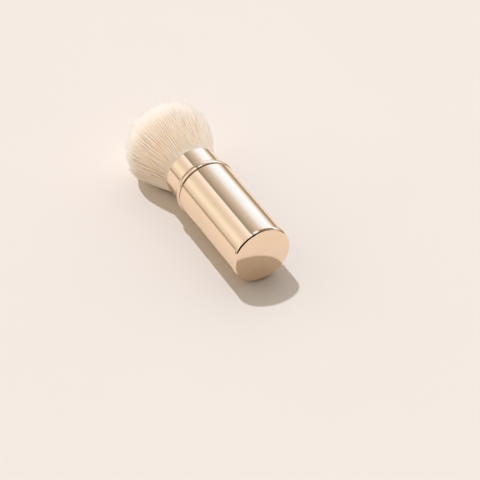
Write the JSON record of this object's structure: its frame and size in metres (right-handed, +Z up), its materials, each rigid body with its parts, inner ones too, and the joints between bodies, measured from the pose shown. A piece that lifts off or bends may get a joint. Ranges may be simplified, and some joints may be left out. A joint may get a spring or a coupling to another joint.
{
  "type": "retractable makeup brush",
  "caption": "Short makeup brush with a polished metal barrel, a dense domed hair head and a sleeve that slides out over the hair to cover it.",
  "frame": {"origin": "on the floor, under the middle of the brush's length", "axes": "+X along the brush axis from the flat base to the hair tip, +Z up, +Y to the left seen from the base"},
  "size_m": [0.1068, 0.0428, 0.0385],
  "materials": {
    "polished_gold": "mirror-polished, anodised champagne gold, with fine drawing lines",
    "satin_gold": "satin, anodised champagne gold",
    "ferrule_aluminium": "bare, drawn",
    "liner_plastic": "moulded, dark brown",
    "ring_plastic": "moulded, grey",
    "zinc_steel": "zinc plated",
    "silicone": "matt",
    "hair_glue": "cured, amber",
    "cream_hair": "dense soft synthetic hair, cream with near-white tips"
  },
  "bodies": {
    "handle": {"barrel_shell": "polished_gold", "barrel_liner": "liner_plastic", "base_weight": "zinc_steel", "mouth_bushing": "liner_plastic", "brush_holder": "liner_plastic", "holder_screw": "zinc_steel", "screw_washer": "zinc_steel", "ferrule": "ferrule_aluminium", "glue_plug": "hair_glue", "bristle_head": "cream_hair"},
    "sleeve": {"guide_tube": "satin_gold", "tail_ring": "ring_plastic", "friction_o_ring": "silicone", "collar_ring": "polished_gold", "neck_shell": "polished_gold"}
  },
  "joints": [
    {"name": "sleeve_slide", "type": "slide", "parent": "handle", "child": "sleeve", "axis": [1, 0, 0], "range_m": [0, 0.037], "deforming": ["bristle_head"]}
  ]
}
